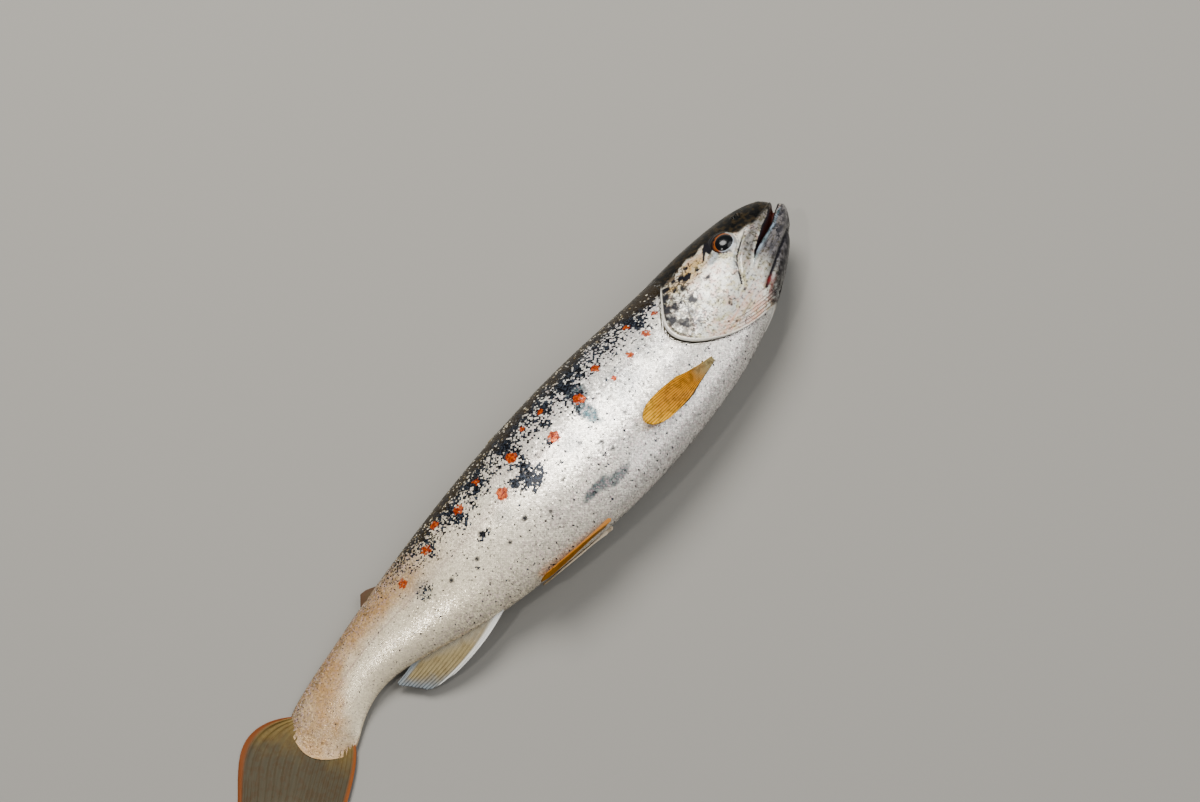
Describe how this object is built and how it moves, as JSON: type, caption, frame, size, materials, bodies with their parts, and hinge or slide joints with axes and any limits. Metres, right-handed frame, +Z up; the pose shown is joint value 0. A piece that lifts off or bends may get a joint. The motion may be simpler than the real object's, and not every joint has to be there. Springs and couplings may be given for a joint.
{
  "type": "amago trout",
  "caption": "Still life-size trout lying on its left side, head raised a little and tail swung towards the belly.",
  "frame": {"origin": "centre of the underside of the whole fish's box, on the floor it lies on", "axes": "+X towards the head, +Y towards the back, +Z up out of the right flank"},
  "size_m": [0.2407, 0.0528, 0.0305],
  "materials": {
    "silver_flank": "wet silver scales, blue-black back with orange spots",
    "cheek": "wet pearly skin",
    "orange_fin": "wet amber membrane over rays",
    "olive_fin": "wet olive membrane over rays",
    "eye": "wet black pupil in an orange-brown iris"
  },
  "bodies": {
    "root": {"head": "cheek", "lower_jaw": "cheek", "gill_cover_right": "cheek", "gill_cover_left": "cheek", "eye_right": "eye", "eye_left": "eye", "trunk": "silver_flank", "tail": "silver_flank", "tail_fin": "olive_fin", "dorsal_fin": "olive_fin", "adipose_fin": "olive_fin", "anal_fin": "olive_fin", "pectoral_fin_right": "orange_fin", "pectoral_fin_left": "orange_fin", "pelvic_fin_right": "orange_fin", "pelvic_fin_left": "orange_fin"}
  },
  "joints": []
}
